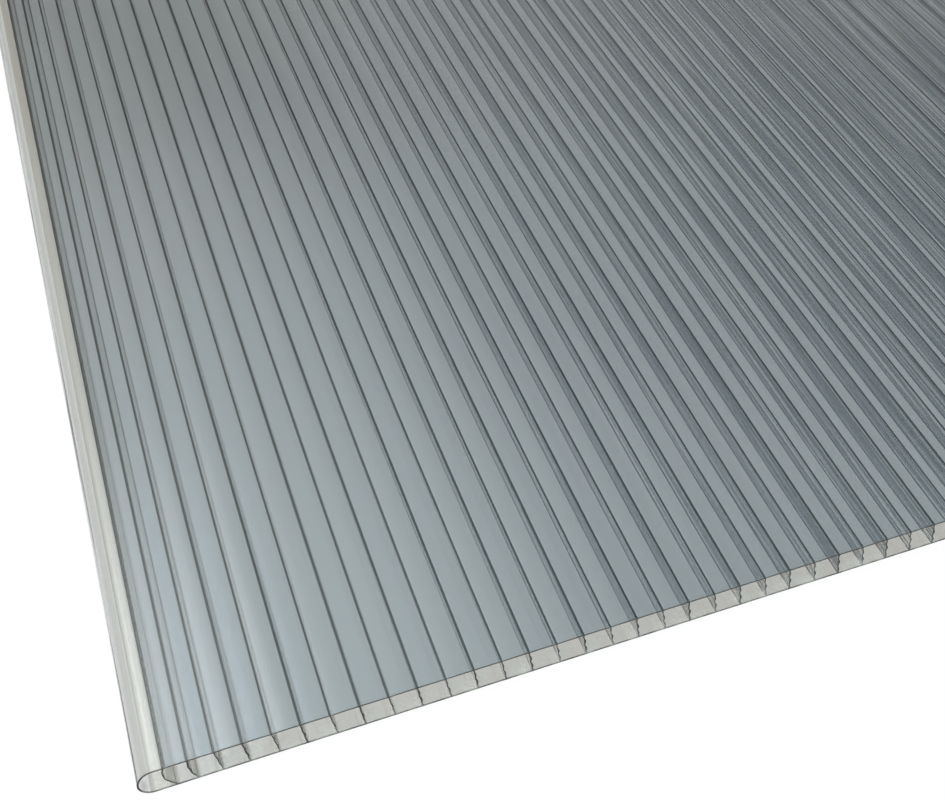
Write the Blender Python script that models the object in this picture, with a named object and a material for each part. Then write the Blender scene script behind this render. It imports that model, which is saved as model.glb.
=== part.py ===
# Twin-wall polycarbonate sheet: one extrusion with two skins, a rib every few
# millimetres between them and a closed rounded nose along both long sides.
# The section lies in X and Z, the ribs run along Y, and the sheet lies flat.
# Origin: middle of the underside. Units: metres.
import math

import bmesh
import bpy

# The sheet
SHEET_WIDTH = 0.610
SHEET_LENGTH = 1.220
THICKNESS = 0.010

# Walls of the section
SKIN_WALL = 0.00050
RIB_WALL = 0.00040
NOSE_WALL = 0.00060
RIB_PITCH = 0.0090  # nearest pitch that fills the sheet with whole flutes
CORNER_FILLET = 0.00035

# Closed edge. The nose's lower radius is what the upper one leaves of the thickness.
NOSE_UPPER_RADIUS = 0.0054
FIRST_RIB_INSET = 0.0086  # from the nose's tip to the top of the first rib
EDGE_FLUTE_WIDTHS = (0.00675, 0.00765, 0.00830, 0.00865, 0.00875)

# The die pulls the ribs beside the nose out of straight
RIB_BOWS = (0.00180, 0.00055)  # bulge towards the nose at mid height
RIB_FOOT_SHIFTS = (0.00100, 0.00020)  # how far the foot lies inwards of the top

# Facets
NOSE_SEGMENTS = 14
BOWED_RIB_SEGMENTS = 8
FILLET_SEGMENTS = 3

TINT = (0.30, 0.37, 0.40, 1.0)
ROUGHNESS = 0.06
REFRACTIVE_INDEX = 1.585


class Rib:
    """One wall between the skins. Bow and foot shift are signed along X."""

    def __init__(self, top_x, bow=0.0, foot_shift=0.0):
        self.top_x = top_x
        self.bow = bow
        self.foot_shift = foot_shift
        self.segments = BOWED_RIB_SEGMENTS if bow else 1

    def mirrored(self):
        return Rib(-self.top_x, -self.bow, -self.foot_shift)

    def middle_x(self, z):
        rise = z / THICKNESS
        return self.top_x + self.foot_shift * (1 - rise) + 4 * self.bow * rise * (1 - rise)

    def slope(self, z):
        rise = z / THICKNESS
        return (4 * self.bow * (1 - 2 * rise) - self.foot_shift) / THICKNESS

    def face(self, side):
        """Points up one face, from skin to skin; side is -1 for left, 1 for right."""
        clear_height = THICKNESS - 2 * SKIN_WALL
        points = []
        for step in range(self.segments + 1):
            z = SKIN_WALL + clear_height * step / self.segments
            half_wall = RIB_WALL / 2 * math.hypot(1, self.slope(z))
            points.append((self.middle_x(z) + side * half_wall, z))
        return points


def make_ribs():
    """All ribs from left to right: an edge group, even ribs, the mirrored edge group."""
    edge_ribs = []
    x = -SHEET_WIDTH / 2 + FIRST_RIB_INSET
    for place, flute_width in enumerate(EDGE_FLUTE_WIDTHS):
        bow = RIB_BOWS[place] if place < len(RIB_BOWS) else 0.0
        foot_shift = RIB_FOOT_SHIFTS[place] if place < len(RIB_FOOT_SHIFTS) else 0.0
        edge_ribs.append(Rib(x, -bow, foot_shift))
        x += flute_width
    even_width = -2 * x
    even_flutes = max(1, round(even_width / RIB_PITCH))
    even_ribs = [Rib(x + even_width * place / even_flutes) for place in range(even_flutes + 1)]
    return edge_ribs + even_ribs + [rib.mirrored() for rib in reversed(edge_ribs)]


def left_nose(nose_wall, skin_wall):
    """Nose curve from the top round to the underside, set in by the walls given."""
    lower_radius = THICKNESS - NOSE_UPPER_RADIUS
    points = []
    for radius, first_angle in ((NOSE_UPPER_RADIUS, 90), (lower_radius, 180)):
        centre_x = -SHEET_WIDTH / 2 + radius
        for step in range(NOSE_SEGMENTS + 1):
            angle = math.radians(first_angle + 90 * step / NOSE_SEGMENTS)
            x = centre_x + (radius - nose_wall) * math.cos(angle)
            z = lower_radius + (radius - skin_wall) * math.sin(angle)
            points.append((x, z))
    del points[NOSE_SEGMENTS]  # both arcs hold the tip
    return points


def mirrored(points):
    """The same points on the other side of X = 0, in the opposite order."""
    return [(-x, z) for x, z in reversed(points)]


def outer_outline(ribs):
    """Anticlockwise outline of the whole section, with a point above and below each rib."""
    nose = left_nose(0.0, 0.0)
    underside = [(rib.middle_x(0.0), 0.0) for rib in ribs]
    top = [(rib.top_x, THICKNESS) for rib in reversed(ribs)]
    return underside + mirrored(nose) + top + nose


def with_fillet(before, corner, after):
    """The arc that rounds one corner of an outline."""
    to_before = (before[0] - corner[0], before[1] - corner[1])
    to_after = (after[0] - corner[0], after[1] - corner[1])
    length_before = math.hypot(*to_before)
    length_after = math.hypot(*to_after)
    unit_before = (to_before[0] / length_before, to_before[1] / length_before)
    unit_after = (to_after[0] / length_after, to_after[1] / length_after)
    half_angle = math.acos(unit_before[0] * unit_after[0] + unit_before[1] * unit_after[1]) / 2
    tangent = CORNER_FILLET / math.tan(half_angle)
    bisector = (unit_before[0] + unit_after[0], unit_before[1] + unit_after[1])
    reach = CORNER_FILLET / math.sin(half_angle) / math.hypot(*bisector)
    centre = (corner[0] + bisector[0] * reach, corner[1] + bisector[1] * reach)
    start = (corner[0] + unit_before[0] * tangent, corner[1] + unit_before[1] * tangent)
    sweep = math.pi - 2 * half_angle
    radial = (start[0] - centre[0], start[1] - centre[1])
    points = []
    for step in range(FILLET_SEGMENTS + 1):
        angle = sweep * step / FILLET_SEGMENTS
        x = centre[0] + radial[0] * math.cos(angle) - radial[1] * math.sin(angle)
        z = centre[1] + radial[0] * math.sin(angle) + radial[1] * math.cos(angle)
        points.append((x, z))
    return points


def flute_outline(left_rib, right_rib):
    """Anticlockwise outline of the hollow between two ribs, with its four fillets."""
    right_side = right_rib.face(-1)
    left_side = left_rib.face(1)[::-1]
    bottom_left = with_fillet(left_side[-2], left_side[-1], right_side[0])
    bottom_right = with_fillet(left_side[-1], right_side[0], right_side[1])
    top_right = with_fillet(right_side[-2], right_side[-1], left_side[0])
    top_left = with_fillet(right_side[-1], left_side[0], left_side[1])
    return bottom_left + bottom_right + right_side[1:-1] + top_right + top_left + left_side[1:-1]


def nose_outline(first_rib):
    """Anticlockwise outline of the hollow between the left nose and the first rib."""
    right_side = first_rib.face(-1)
    nose = left_nose(NOSE_WALL, SKIN_WALL)
    bottom_right = with_fillet(nose[-1], right_side[0], right_side[1])
    top_right = with_fillet(right_side[-2], right_side[-1], nose[0])
    return bottom_right + right_side[1:-1] + top_right + nose


def add_loop(bm, points, y):
    """A closed ring of edges through the section's points at one place along the sheet."""
    verts = [bm.verts.new((x, y, z)) for x, z in points]
    return [bm.edges.new((vert, verts[place - 1])) for place, vert in enumerate(verts)]


def make_material():
    material = bpy.data.materials.new("smoke_polycarbonate")
    material.use_nodes = True
    shader = material.node_tree.nodes["Principled BSDF"]
    shader.inputs["Base Color"].default_value = TINT
    shader.inputs["Roughness"].default_value = ROUGHNESS
    shader.inputs["Metallic"].default_value = 0.0
    shader.inputs["IOR"].default_value = REFRACTIVE_INDEX
    shader.inputs["Transmission Weight"].default_value = 0.9
    return material


def make_sheet():
    """The section, filled between its outlines and drawn out along the ribs."""
    ribs = make_ribs()
    left_nose_hollow = nose_outline(ribs[0])
    outlines = [outer_outline(ribs), left_nose_hollow, mirrored(left_nose_hollow)]
    outlines += [flute_outline(left, right) for left, right in zip(ribs, ribs[1:])]
    bm = bmesh.new()
    edges = []
    for outline in outlines:
        edges += add_loop(bm, outline, -SHEET_LENGTH / 2)
    filled = bmesh.ops.triangle_fill(bm, use_beauty=True, edges=edges, normal=(0.0, -1.0, 0.0))
    faces = [item for item in filled["geom"] if isinstance(item, bmesh.types.BMFace)]
    drawn = bmesh.ops.extrude_face_region(bm, geom=faces)
    far_verts = [item for item in drawn["geom"] if isinstance(item, bmesh.types.BMVert)]
    bmesh.ops.translate(bm, vec=(0.0, SHEET_LENGTH, 0.0), verts=far_verts)
    bmesh.ops.recalc_face_normals(bm, faces=bm.faces)
    mesh = bpy.data.meshes.new("twinwall_sheet")
    bm.to_mesh(mesh)
    bm.free()
    mesh.materials.append(make_material())
    mesh.shade_smooth()
    mesh.set_sharp_from_angle(angle=math.radians(35))
    sheet = bpy.data.objects.new("twinwall_sheet", mesh)
    bpy.context.scene.collection.objects.link(sheet)
    return sheet


def clear_scene():
    for old in list(bpy.data.objects):
        bpy.data.objects.remove(old)


clear_scene()
make_sheet()
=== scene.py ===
import math

import bmesh
import bpy
import numpy as np
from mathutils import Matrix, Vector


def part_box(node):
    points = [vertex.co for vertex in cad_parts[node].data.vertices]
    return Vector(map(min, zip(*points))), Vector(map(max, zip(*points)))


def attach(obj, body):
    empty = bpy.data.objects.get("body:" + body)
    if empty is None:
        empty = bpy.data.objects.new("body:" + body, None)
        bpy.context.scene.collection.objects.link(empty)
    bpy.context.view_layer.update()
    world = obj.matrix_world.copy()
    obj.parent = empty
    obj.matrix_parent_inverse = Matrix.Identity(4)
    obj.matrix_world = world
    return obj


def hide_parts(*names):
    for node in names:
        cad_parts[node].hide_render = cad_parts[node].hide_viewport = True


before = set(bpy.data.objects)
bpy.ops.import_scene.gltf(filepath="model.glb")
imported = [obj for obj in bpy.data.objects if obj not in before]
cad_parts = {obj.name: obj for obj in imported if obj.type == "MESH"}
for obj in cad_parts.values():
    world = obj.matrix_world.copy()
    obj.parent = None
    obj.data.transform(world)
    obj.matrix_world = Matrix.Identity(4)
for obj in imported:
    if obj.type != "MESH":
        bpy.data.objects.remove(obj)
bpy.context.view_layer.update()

# Smoke-tinted twin-wall sheet on a white floor. The ribs run along y, the cut end nearest
# the camera is at the lowest y, and all lengths are in metres.
low, high = (np.array(corner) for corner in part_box("twinwall_sheet"))
sheetHeight = high[2] - low[2]
scene = bpy.context.scene
scene.view_settings.view_transform = "Standard"


# camera at the photograph's viewing angle

cameraSettings = {
    "place": (-0.26900, -0.88712, 0.39215),
    "turn": (48.712, 0.081, -21.419),  # degrees about x, y and z
    "lens": 57.84,                     # mm, for a picture 36 mm wide
    "shift": (-0.135, -0.0635),        # sideways and up, in picture widths
}


def makeCamera(settings):
    data = bpy.data.cameras.new("camera")
    camera = bpy.data.objects.new("camera", data)
    scene.collection.objects.link(camera)
    camera.location = settings["place"]
    camera.rotation_euler = [math.radians(angle) for angle in settings["turn"]]
    data.sensor_width = 36
    data.lens = settings["lens"]
    data.shift_x, data.shift_y = settings["shift"]
    data.clip_start = 0.01
    scene.camera = camera


makeCamera(cameraSettings)
print("camera set")


# shader maths written as expressions

class Socket:
    # wraps an output socket; an operator on it adds a Math node

    def __init__(self, nodes, socket):
        self.nodes = nodes
        self.socket = socket

    def join(self, operation, first, second):
        return self.nodes.add("ShaderNodeMath", {"operation": operation}, {0: first, 1: second})

    def __add__(self, other):
        return self.join("ADD", self, other)

    __radd__ = __add__

    def __sub__(self, other):
        return self.join("SUBTRACT", self, other)

    def __rsub__(self, other):
        return self.join("SUBTRACT", other, self)

    def __mul__(self, other):
        return self.join("MULTIPLY", self, other)

    __rmul__ = __mul__

    def __abs__(self):
        return self.join("ABSOLUTE", self, 0.0)

    def orMore(self, other):
        return self.join("MAXIMUM", self, other)


class NodeTree:
    # adds nodes to one tree: settings first, then the values or links of the sockets

    def __init__(self, tree):
        self.tree = tree
        tree.nodes.clear()

    def add(self, kind, settings=None, inputs=None, output=0):
        node = self.tree.nodes.new(kind)
        for name, value in (settings or {}).items():
            if name == "stops":
                self.fillRamp(node.color_ramp, value)
            else:
                setattr(node, name, value)
        for name, value in (inputs or {}).items():
            if isinstance(value, Socket):
                self.tree.links.new(value.socket, node.inputs[name])
            else:
                node.inputs[name].default_value = value
        return Socket(self, node.outputs[output]) if node.outputs else None

    def fillRamp(self, ramp, stops):
        while len(ramp.elements) < len(stops):
            ramp.elements.new(0.5)
        for element, (position, shade) in zip(ramp.elements, stops):
            element.position = position
            element.color = (*shade, 1.0) if isinstance(shade, tuple) else (shade, shade, shade, 1.0)

    def blend(self, share, first, second):
        # the first colour where share is 0 and the second where it is 1
        return self.add("ShaderNodeMix", {"data_type": "RGBA"}, {0: share, 6: first, 7: second}, 2)

    def anyRay(self, first, *others):
        # 1 for a ray of any of these kinds
        kinds = self.add("ShaderNodeLightPath", output=first)
        for other in others:
            kinds = kinds.orMore(self.add("ShaderNodeLightPath", output=other))
        return kinds

    def noise(self, place, perMetre, detail=2.0, roughness=0.5):
        # perMetre gives the noise's scale along x, y and z, so it can be drawn out along the ribs
        spread = self.add("ShaderNodeVectorMath", {"operation": "MULTIPLY"}, {0: place, 1: perMetre})
        return self.add("ShaderNodeTexNoise", None,
                        {"Vector": spread, "Scale": 1.0, "Detail": detail, "Roughness": roughness})

    def rise(self, value, start, end):
        # a smooth step from 0 at start to 1 at end, or from 1 to 0 where end is the lower one
        fromTo = (start, end, 0.0, 1.0) if start < end else (end, start, 1.0, 0.0)
        names = ("From Min", "From Max", "To Min", "To Max")
        return self.add("ShaderNodeMapRange", {"interpolation_type": "SMOOTHSTEP"},
                        {"Value": value, **dict(zip(names, fromTo))})


def newMaterial(name):
    material = bpy.data.materials.new(name)
    material.use_nodes = True
    return material, NodeTree(material.node_tree)


# smoke-tinted polycarbonate

plastic = {
    "refraction": 1.585,
    "tint": (0.50, 0.53, 0.54, 1.0),     # the darker a channel, the more of it is absorbed
    "density": 650.0,                    # absorption per metre of a black tint
    "bare": (0.98, 0.98, 0.96, 1.0),
    "lampTint": (0.96, 0.96, 0.96, 1.0),
    "upperFace": (0.97, 0.98),           # where the faces begin, in shares of the sheet's height
    "lowerFace": (0.03, 0.02),
    # painted shade on the lower face, dark and warm, in place of the shade on the floor under the sheet
    "underside": (0.38, 0.36, 0.315, 1.0),
    "upperShade": (0.44, 0.53, 0.64, 1.0),    # painted shade on the upper face between the edge ribs, darker and bluish, in place of the shade under the sheet
    "upperShadeEdge": (0.0084, 0.0088),       # where it begins, in from the nose's tip
    "firstRibLine": (0.02, 0.03, 0.035, 1.0),    # painted shade: a nearly black line over the first rib, just inside the upper shade's edge
    "firstRibLineEnd": (0.0091, 0.0093),
    "ribTopShade": (0.02, 0.03, 0.035, 1.0),    # painted shade: dark lines at the ribs' tops, nearly black on their fillets
    "ribTopShadeEdge": (0.0072, 0.0076),        # where they begin, in from the nose's tip
    "ribTopShadeHeight": (0.90, 0.92),
    "ribTopShadeFacing": (0.10, 0.30),          # how far they must face sideways
    "ribTopShadeFade": 0.55,                    # how much weaker they are where the streaks of rib shade are full
    "ribStreakShade": (0.40, 0.43, 0.45, 1.0),   # painted shade in streaks on the ribs' faces, along the die's drag lines
    "ribStreakStart": (-0.275, -0.12),      # x where these begin and where they are full
    "ribStreakFacing": (0.5, 0.8),
    "ribStreakWidth": (0.35, 0.58),         # levels of the noise where they begin and are full
    "drawnLines": (400.0, 12.0, 700.0),  # the noise's scale per metre along x, y and z
    "ribRipple": 0.00004,                # height of the ripples, in metres
    "skinRipple": 0.00001,
    "shadedCutEnds": (0.10, 0.12, 0.12, 1.0),      # painted shade on the sawn ends
    "cutDepth": (0.00025, 0.00015),      # how far in they are painted dark and made rough
    "cutRoughness": 0.3,
    # the dust's colour, also given to the patches of painted shade behind each cut end
    "dustAndShade": (0.76, 0.77, 0.72, 1.0),
    "dustRoughness": 0.9,
    "dustGloss": 0.1,
    "dustFilm": 0.024,                   # how much the film of dust on the upper face hides
    "patchShade": 0.34,                     # and the patches of painted shade low in the flutes behind each cut end
    "patchShadeReach": (0.009, 0.001),      # from the end: where it begins and where it is full
    "patchShadeHeight": (0.35, 0.10),
    "shadePatches": (190.0, 190.0, 60.0),       # of the painted shade patches, per metre along x, y and z
    "shadePatchEdge": (0.35, 0.70),
    "specks": 0.7,
    "speckPlaces": 22.0,                 # per metre
    "speckEdge": (0.010, 0.006),
}


def atHeights(shares):
    # heights in metres from shares of the sheet's height
    return (share * sheetHeight for share in shares)


def fromTip(widths):
    # how far from the middle the places are that lie this far in from a nose's tip
    return (high[0] - width for width in widths)


def fromEnd(depths):
    # the same for the cut ends
    return (high[1] - depth for depth in depths)


def polycarbonate(settings):
    material, nodes = newMaterial("smokePolycarbonate")
    place = nodes.add("ShaderNodeTexCoord", output=3)
    axes = [nodes.add("ShaderNodeSeparateXYZ", None, {0: place}, axis) for axis in range(3)]
    upperFace = nodes.rise(axes[2], *atHeights(settings["upperFace"]))
    drawn = nodes.noise(place, settings["drawnLines"], 1.0)

    solid = clearPlastic(settings, nodes, axes, upperFace, drawn)
    # dust on the plastic, in a colour also used for the patches of painted shade behind each cut end
    dustAndShade = nodes.add("ShaderNodeBsdfPrincipled", None, {
        "Base Color": settings["dustAndShade"], "Roughness": settings["dustRoughness"],
        "Specular IOR Level": settings["dustGloss"]})
    hidden = dustAndShadeCover(settings, nodes, place, axes, upperFace, drawn)
    dustyAndShaded = nodes.add("ShaderNodeMixShader", None, {0: hidden, 1: solid, 2: dustAndShade})

    # lamps and the floor's own bounces pass straight through, as through any thin clear wall
    clear = nodes.add("ShaderNodeBsdfTransparent", None, {"Color": settings["lampTint"]})
    surface = nodes.add("ShaderNodeMixShader", None,
                        {0: nodes.anyRay("Is Shadow Ray", "Is Diffuse Ray"), 1: dustyAndShaded, 2: clear})
    inside = nodes.add("ShaderNodeVolumeAbsorption", None,
                       {"Color": settings["tint"], "Density": settings["density"]})
    nodes.add("ShaderNodeOutputMaterial", None, {"Surface": surface, "Volume": inside})
    return material


def clearPlastic(settings, nodes, axes, upperFace, drawn):
    # bare walls, then painted shade on the underside, the upper face, over the first rib, at the ribs'
    # tops, in streaks on the ribs and on the cut ends, over one another
    x, y, z = axes
    fromMiddle = abs(x)
    facing = nodes.add("ShaderNodeTexCoord", output=1)
    onRib = abs(nodes.add("ShaderNodeSeparateXYZ", None, {0: facing}))
    lowerFace = nodes.rise(z, *atHeights(settings["lowerFace"]))
    # painted shade on the lower face
    colour = nodes.blend(lowerFace, settings["bare"], settings["underside"])

    # painted shade on the upper face between the edge ribs, nearly black over the first rib
    pastFirstRibLine = nodes.rise(fromMiddle, *fromTip(settings["firstRibLineEnd"]))
    upperShaded = upperFace * nodes.rise(fromMiddle, *fromTip(settings["upperShadeEdge"]))
    colour = nodes.blend(upperShaded, colour, nodes.blend(pastFirstRibLine, settings["firstRibLine"], settings["upperShade"]))

    grown = nodes.rise(x, *settings["ribStreakStart"])
    # painted shade along the ribs' tops
    ribTops = nodes.rise(onRib, *settings["ribTopShadeFacing"]) * nodes.rise(z, *atHeights(settings["ribTopShadeHeight"]))
    ribTopShading = (ribTops * nodes.rise(fromMiddle, *fromTip(settings["ribTopShadeEdge"]))
             * (1 - grown * settings["ribTopShadeFade"]))
    colour = nodes.blend(ribTopShading, colour, settings["ribTopShade"])
    # painted shade in streaks on the ribs' faces
    ribStreakShading = (nodes.rise(onRib, *settings["ribStreakFacing"]) * nodes.rise(drawn, *settings["ribStreakWidth"])
               * grown)
    colour = nodes.blend(ribStreakShading, colour, settings["ribStreakShade"])
    # painted shade on the sawn ends, which are also rough
    shadedCutEnds = nodes.rise(abs(y), *fromEnd(settings["cutDepth"]))
    colour = nodes.blend(shadedCutEnds, colour, settings["shadedCutEnds"])

    ripple = onRib * (settings["ribRipple"] - settings["skinRipple"]) + settings["skinRipple"]
    relief = nodes.add("ShaderNodeBump", None, {
        "Strength": 1.0, "Distance": 1.0, "Height": drawn * ripple})
    return nodes.add("ShaderNodeBsdfPrincipled", None, {
        "Base Color": colour, "Roughness": shadedCutEnds * settings["cutRoughness"], "IOR": settings["refraction"],
        "Transmission Weight": 1.0, "Normal": relief})


def dustAndShadeCover(settings, nodes, place, axes, upperFace, drawn):
    # share of the plastic that dust and painted shade hide: a film and specks of dust on top, patches of
    # painted shade inside the ends
    film = upperFace * drawn * settings["dustFilm"]
    nearEnd = nodes.rise(abs(axes[1]), *fromEnd(settings["patchShadeReach"]))
    lowInside = nodes.rise(axes[2], *atHeights(settings["patchShadeHeight"]))
    shadePatches = nodes.rise(nodes.noise(place, settings["shadePatches"], 1.0), *settings["shadePatchEdge"])
    # painted shade: darker patches low in the flutes behind each cut end
    patchShade = nearEnd * lowInside * shadePatches * settings["patchShade"]
    scattered = nodes.add("ShaderNodeTexVoronoi", None, {"Vector": place, "Scale": settings["speckPlaces"]})
    specks = upperFace * nodes.rise(scattered, *settings["speckEdge"]) * settings["specks"]
    return (film + patchShade).orMore(specks)


# the sheet, one extrusion

section = {
    "skin": 0.00050,
    "rib": 0.00040,
    "nose": 0.00060,
    "fillets": (0.00035, 0.00022),  # at a rib's foot and at its top
    "pitch": 0.0090,
    "firstRib": 0.0086,       # from the nose's tip to the top of the first rib
    "edgeFlutes": (0.00675, 0.00765, 0.00830, 0.00865, 0.00875),
    "edgeBows": (0.00220, 0.00090),  # towards the left nose, of the two ribs beside it
    "edgeFeet": (0.00300, 0.00210),  # and how far in their feet lie
    "rightBows": (0.00180, 0.00055),  # the same beside the right nose, from the nose in
    "rightFeet": (0.00100, 0.00020),
    "upperNose": 0.0054,      # radius
    "lean": (0.00055, -0.0030),  # foot shift at the middle and its change per metre of x
    "foot": 0.00014,          # the even ribs lean left and right by turns
    "swell": (0.35, -0.15),   # and are thicker or thinner at mid height by turns
    # share by which the die's drag lines thicken and thin a rib, and how far they push it
    # aside, each at the left side and from the middle on
    "lump": (0.05, 0.25),
    "sway": (0.00002, 0.00012),
    "lumps": 2.6,             # in the height of a rib
    "turn": 1.2,              # how far they move up and down along the sheet, in radians
    "burr": 0.30,             # what the saw adds to the lumps and the sway at a cut end
    "burrSway": 0.00012,
    "burrReach": 0.0025,
    "bulge": (0.00007, 0.00007),  # of the upper skin over neighbouring flutes
    "drop": (0.00018, 0.00002),  # of the skin at neighbouring ribs
    "sag": (0.00003, 0.00005),  # of the lower skin into them
    "wander": 0.00006,        # of the ribs along the sheet
    "waveLengths": (0.83, 0.37, 0.19),
    "waveShares": (0.5, 0.3, 0.2),
    "seeds": (7, 3, 5, 9),    # for the phases of the lumps, the drift, the bows and the turn
    "stations": 13,
    "endStations": (0.0012, 0.0030, 0.0070),  # in from each cut end
    "skinShares": (0.05, 0.28, 0.50, 0.72, 0.95),  # points of a skin between two ribs
    "facePoints": 14,         # up a rib between its fillets
    "filletPoints": 5,
    "noseSegments": 24,       # in each of its two arcs
    "sharpAngle": 35,         # degrees
}


def ribLines(settings, along):
    # top x, bow, foot shift, swell, phase, lump and sway for each station and rib; a slow sum
    # of sines moves the ribs a little along the sheet
    edge = low[0] + settings["firstRib"] + np.cumsum((0.0, *settings["edgeFlutes"]))
    flutes = round(-2 * edge[-1] / settings["pitch"])
    even = np.linspace(edge[-1], -edge[-1], flutes + 1)
    tops = np.concatenate((edge[:-1], even, -edge[-2::-1]))
    odd = np.arange(tops.size) % 2 == 1
    bows = np.zeros(tops.size)
    lean, change = settings["lean"]
    feet = np.maximum(lean + change * tops, 0.0) + np.where(odd, -1.0, 1.0) * settings["foot"]
    swells = np.where(odd, *settings["swell"])
    count = len(settings["edgeBows"])
    bows[:count] = -np.array(settings["edgeBows"])
    bows[-count:] = settings["rightBows"][::-1]
    feet[:count] = settings["edgeFeet"]
    feet[-count:] = -np.array(settings["rightFeet"][::-1])
    lumpSeed, driftSeed, bowSeed, turnSeed = settings["seeds"]
    phases = np.random.default_rng(lumpSeed).uniform(0, 2 * math.pi, tops.size)
    drift = slowWaves(settings, along, tops.size, settings["wander"], driftSeed)
    bowing = slowWaves(settings, along, tops.size, settings["wander"], bowSeed)
    turn = slowWaves(settings, along, tops.size, settings["turn"], turnSeed)
    # the drag lines grow from the left side to the middle; the burr fades in from a cut end by
    # exp(-distance / reach)
    growth = np.clip((tops - low[0]) / high[0], 0.0, 1.0)
    fade = np.exp(-(high[1] - np.abs(along)) / settings["burrReach"])[:, None]
    lumps = np.interp(growth, (0, 1), settings["lump"]) + settings["burr"] * fade
    sways = np.interp(growth, (0, 1), settings["sway"]) + settings["burrSway"] * fade
    shape = (tops + drift, bows + bowing, feet, swells, phases + turn, lumps, sways)
    return [np.broadcast_to(values, drift.shape) for values in shape]


def slowWaves(settings, along, count, height, seed):
    # height times a sum of sines of y, each with its own length, share and random phases
    lengths = np.array(settings["waveLengths"])[:, None, None]
    shares = np.array(settings["waveShares"])[:, None, None]
    phases = np.random.default_rng(seed).uniform(0, 2 * math.pi, (lengths.size, 1, count))
    return height * (shares * np.sin(2 * math.pi * along[None, :, None] / lengths + phases)).sum(0)


def ribMiddle(rib, z):
    # x = top + foot (1 - s) + 4 bow s (1 - s), with s the share of the sheet's height
    top, bow, foot = (values[..., None] for values in rib[:3])
    s = z / sheetHeight
    return top + foot * (1 - s) + 4 * bow * s * (1 - s)


def ribFace(settings, rib, z, side):
    # half the wall to one side of its middle, measured square to its slope; the wall is
    # rib (1 + 4 swell s (1 - s) + lump w) thick and sways by sway w, where the drag lines
    # w = sin(2 pi lumps s + phase) sin(pi s) die out at both skins
    top, bow, foot, swell, phase, lump, sway = (values[..., None] for values in rib)
    s = z / sheetHeight
    slope = (4 * bow * (1 - 2 * s) - foot) / sheetHeight
    drag = np.sin(2 * math.pi * settings["lumps"] * s + phase) * np.sin(math.pi * s)
    wall = settings["rib"] * (1 + 4 * swell * s * (1 - s) + lump * drag)
    return ribMiddle(rib, z) + sway * drag + side * wall / 2 * np.hypot(1, slope)


def cornerRise(radius, points):
    # a fillet's points: height above the skin, radius (1 - cos t), and gap to the rib,
    # radius (1 - sin t)
    t = np.linspace(0, math.pi / 2, points)
    return radius * (1 - np.cos(t)), radius * (1 - np.sin(t))


def faceAndFillets(settings, rib, side):
    # up one face of a rib, from the lower skin round both its fillets; side is -1 for its left
    footRise, footGap = cornerRise(settings["fillets"][0], settings["filletPoints"])
    topRise, topGap = cornerRise(settings["fillets"][1], settings["filletPoints"])
    start, end = settings["skin"], sheetHeight - settings["skin"]
    between = np.linspace(start + footRise[-1], end - topRise[-1], settings["facePoints"] + 2)[1:-1]
    z = np.concatenate((start + footRise, between, end - topRise[::-1]))
    out = np.concatenate((footGap, np.zeros(between.size), topGap[::-1]))
    x = ribFace(settings, rib, z, side) + side * out
    return np.stack((x, np.broadcast_to(z, x.shape)), -1)


def skinPoints(settings, start, end, rises):
    # straight from start to end, raised by 4 rise u (1 - u); start and end have an axis for
    # the flutes, whose rises go by turns
    u = np.array(settings["skinShares"])
    points = start[..., None, :] * (1 - u[:, None]) + end[..., None, :] * u[:, None]
    rise = np.resize(rises, start.shape[-2])[:, None]
    points[..., 1] += 4 * rise * u * (1 - u)
    return points


def fluteRings(settings, ribs):
    # the hollow between neighbouring ribs, anticlockwise
    left = faceAndFillets(settings, [values[:, :-1] for values in ribs], 1)
    right = faceAndFillets(settings, [values[:, 1:] for values in ribs], -1)
    lower = skinPoints(settings, left[..., 0, :], right[..., 0, :], settings["sag"])
    upper = skinPoints(settings, right[..., -1, :], left[..., -1, :], settings["bulge"])
    return np.concatenate((lower, right, upper, left[..., ::-1, :]), axis=-2)


def noseCurve(settings, wall, skin):
    # two quarter ellipses from the top round the tip to the underside: the upper one has the
    # nose's upper radius and the lower one what that leaves of the height
    segments = settings["noseSegments"]
    upper = settings["upperNose"]
    lower = sheetHeight - upper
    angle = np.radians(np.linspace(90, 270, 2 * segments + 1))
    radius = np.where(np.arange(angle.size) <= segments, upper, lower)
    x = low[0] + radius + (radius - wall) * np.cos(angle)
    z = lower + (radius - skin) * np.sin(angle)
    return np.stack((x, z), -1)


def noseRing(settings, ribs):
    # the hollow between the left nose and the first rib
    face = faceAndFillets(settings, [values[:, 0] for values in ribs], -1)
    curve = noseCurve(settings, settings["nose"], settings["skin"])
    curve = np.broadcast_to(curve, (face.shape[0], *curve.shape))
    return np.concatenate((face, curve), axis=1)[:, None]


def mirrored(rings):
    # the same rings on the other side of x = 0, in the opposite order, so still anticlockwise
    return rings[..., ::-1, :] * (-1, 1)


def outerRing(settings, ribs):
    # underside, right nose, top and left nose
    under = skinLine(settings, ribMiddle(ribs, np.zeros(1))[..., 0], 0.0, settings["sag"])
    x = ribMiddle(ribs, np.full(1, sheetHeight))[..., 0]
    crest = sheetHeight - np.resize(settings["drop"], x.shape[1])
    top = skinLine(settings, x, crest, settings["bulge"])
    nose = noseCurve(settings, 0.0, 0.0)
    nose = np.broadcast_to(nose, (under.shape[0], *nose.shape))
    return np.concatenate((under, mirrored(nose), top[:, ::-1], nose), axis=1)[:, None]


def skinLine(settings, x, height, rises):
    # x of the ribs, with the points of one skin between each two of them
    ends = np.stack((x, np.broadcast_to(height, x.shape)), -1)
    between = skinPoints(settings, ends[:, :-1], ends[:, 1:], rises)
    spans = np.concatenate((ends[:, :-1, None], between), axis=2)
    return np.concatenate((spans.reshape(x.shape[0], -1, 2), ends[:, -1:]), axis=1)


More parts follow.
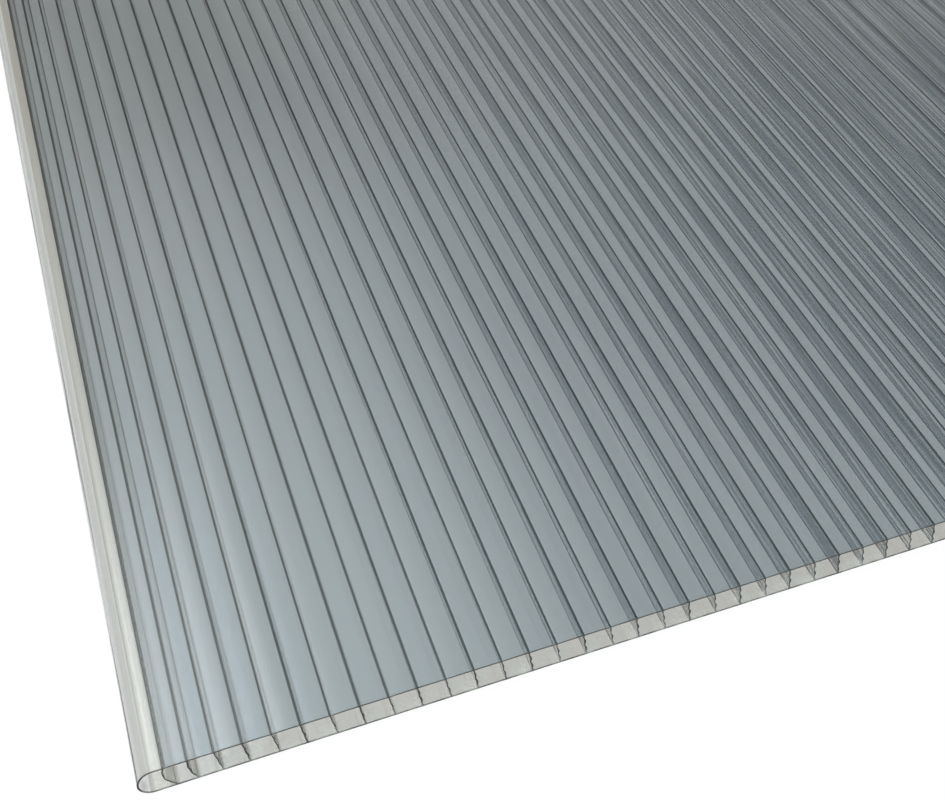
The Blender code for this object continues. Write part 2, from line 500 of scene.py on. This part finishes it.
def tubes(rings, along, firstIndex):
    # points of rings at every station, and the quads that join each station to the next
    stations, count, points = rings.shape[:3]
    y = np.broadcast_to(along[:, None, None], rings.shape[:3])
    places = np.stack((rings[..., 0], y, rings[..., 1]), -1).reshape(-1, 3)
    index = firstIndex + np.arange(places.shape[0]).reshape(stations, count, points)
    beside = np.roll(index, -1, axis=2)
    quads = np.stack((index[:-1], beside[:-1], beside[1:], index[1:]), -1)
    return places, quads.reshape(-1, 4)


def makeSheet(settings):
    inset = np.array(settings["endStations"])
    even = np.linspace(low[1], high[1], settings["stations"])
    along = np.sort(np.concatenate((even, low[1] + inset, high[1] - inset)))
    ribs = ribLines(settings, along)
    nose = noseRing(settings, ribs)
    # the right nose's hollow is the left one mirrored, so the last rib's two faces don't match
    outlines = (outerRing(settings, ribs), nose, mirrored(nose), fluteRings(settings, ribs))
    places, quads = [], []
    for rings in outlines:
        newPlaces, newQuads = tubes(rings, along, sum(map(len, places)))
        places.append(newPlaces)
        quads.append(newQuads)
    mesh = bpy.data.meshes.new("polycarbonate_sheet")
    mesh.from_pydata(np.concatenate(places).tolist(), [], np.concatenate(quads).tolist())
    closeEnds(mesh)
    mesh.shade_smooth()
    mesh.set_sharp_from_angle(angle=math.radians(settings["sharpAngle"]))
    sheet = bpy.data.objects.new("polycarbonate_sheet", mesh)
    scene.collection.objects.link(sheet)
    return sheet


def closeEnds(mesh):
    # each cut end is filled between the outer outline and the hollows
    reach = 0.0001   # an end's edges lie this near to it
    body = bmesh.new()
    body.from_mesh(mesh)
    rims = [edge for edge in body.edges if edge.is_boundary]
    for y, facing in ((low[1], -1.0), (high[1], 1.0)):
        rim = [edge for edge in rims if abs(edge.verts[0].co.y - y) < reach]
        bmesh.ops.triangle_fill(body, use_beauty=True, edges=rim, normal=(0.0, facing, 0.0))
    bmesh.ops.recalc_face_normals(body, faces=body.faces)
    body.to_mesh(mesh)
    body.free()


sheet = makeSheet(section)
sheet.data.materials.append(polycarbonate(plastic))
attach(sheet, "root")
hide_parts("twinwall_sheet")
print("sheet made,", len(sheet.data.polygons), "faces")


# floor, lamps and world

studio = {
    "floorSize": 30.0,
    "floorGap": 0.0002,       # between the floor and the sheet
    "floorColour": (0.93, 0.925, 0.905, 1.0),
    "white": 0.92,            # share of plain white that the camera sees in the floor
    # colour of the surroundings by the sine of the height above the horizon
    "sky": ((0.00, (0.70, 0.72, 0.74)), (0.12, (0.60, 0.62, 0.62)), (0.24, (0.46, 0.50, 0.48)),
            (0.38, (0.54, 0.51, 0.46)), (0.52, (0.12, 0.10, 0.09)), (0.66, (0.08, 0.10, 0.13)),
            (0.80, (0.38, 0.48, 0.50)), (1.00, (0.10, 0.15, 0.15))),
    # soft light panels behind the sheet: where each is, and its colour
    "panels": (((-0.20, 0.62, 0.76), (0.86, 0.90, 0.83)), ((0.30, 0.60, 0.74), (0.15, 0.23, 0.26)),
               ((0.50, 0.72, 0.48), (0.24, 0.24, 0.24))),
    "panelEdge": (0.90, 0.97),     # cosines of the angles where they end and where they are full
    "window": (2.1, 2.1, 2.1),     # a window high on the left
    "windowSide": (0.02, -0.05),   # its soft edges, as parts of a direction of length 1
    "windowFoot": (0.62, 0.82),
    "windowHead": (0.95, 0.88),
    "keyPlace": (-1.2, -0.5, 1.2),
    "keySize": 1.0,
    "keyPower": 16.0,
}


def makeFloor(settings):
    half = settings["floorSize"] / 2
    depth = low[2] - settings["floorGap"]
    mesh = bpy.data.meshes.new("floor")
    mesh.from_pydata([(-half, -half, depth), (half, -half, depth), (half, half, depth),
                      (-half, half, depth)], [], [(0, 1, 2, 3)])
    floor = bpy.data.objects.new("floor", mesh)
    scene.collection.objects.link(floor)
    material, nodes = newMaterial("whiteFloor")
    matt = nodes.add("ShaderNodeBsdfDiffuse", None, {"Color": settings["floorColour"]})
    white = nodes.add("ShaderNodeEmission", None, {"Color": (1.0, 1.0, 1.0, 1.0), "Strength": 1.0})
    seenBy = nodes.anyRay("Is Camera Ray", "Is Glossy Ray", "Is Transmission Ray")
    seen = nodes.add("ShaderNodeMixShader", None, {0: seenBy * settings["white"], 1: matt, 2: white})
    nodes.add("ShaderNodeOutputMaterial", None, {"Surface": seen})
    mesh.materials.append(material)


def makeKey(settings):
    lamp = bpy.data.lights.new("key", "AREA")
    lamp.size = settings["keySize"]
    lamp.energy = settings["keyPower"]
    key = bpy.data.objects.new("key", lamp)
    scene.collection.objects.link(key)
    x, y, z = settings["keyPlace"]
    key.location = (x, y, z)
    # the lamp's own -z axis points at the near left corner of the sheet
    reach = math.hypot(x - low[0], y - low[1])
    key.rotation_euler = (math.atan2(reach, z), 0.0, math.atan2(y - low[1], x - low[0]) + math.pi / 2)


def makeWorld(settings):
    world = bpy.data.worlds.new("studio")
    scene.world = world
    world.use_nodes = True
    nodes = NodeTree(world.node_tree)
    direction = nodes.add("ShaderNodeTexCoord", output="Generated")
    height = nodes.add("ShaderNodeSeparateXYZ", None, {0: direction}, 2)
    shade = nodes.add("ShaderNodeValToRGB", {"stops": settings["sky"]}, {0: height})
    faint, full = settings["panelEdge"]
    for aim, colour in settings["panels"]:
        towards = nodes.add("ShaderNodeVectorMath", {"operation": "DOT_PRODUCT"},
                            {0: direction, 1: aim}, "Value")
        panel = nodes.add("ShaderNodeValToRGB", {"stops": ((faint, 0.0), (full, colour))}, {0: towards})
        shade = nodes.add("ShaderNodeVectorMath", {"operation": "ADD"}, {0: shade, 1: panel})
    side = nodes.add("ShaderNodeSeparateXYZ", None, {0: direction}, 0)
    lit = (nodes.rise(side, *settings["windowSide"]) * nodes.rise(height, *settings["windowFoot"])
           * nodes.rise(height, *settings["windowHead"]))
    shade = nodes.add("ShaderNodeVectorMath", {"operation": "MULTIPLY_ADD"},
                      {0: lit, 1: settings["window"], 2: shade})
    sky = nodes.add("ShaderNodeBackground", None, {"Color": shade, "Strength": 1.0})
    nodes.add("ShaderNodeOutputWorld", None, {"Surface": sky})


makeFloor(studio)
makeKey(studio)
makeWorld(studio)
scene.cycles.max_bounces = 15
scene.cycles.transmission_bounces = 15
scene.cycles.transparent_max_bounces = 32
scene.cycles.glossy_bounces = 8
print("stage set")
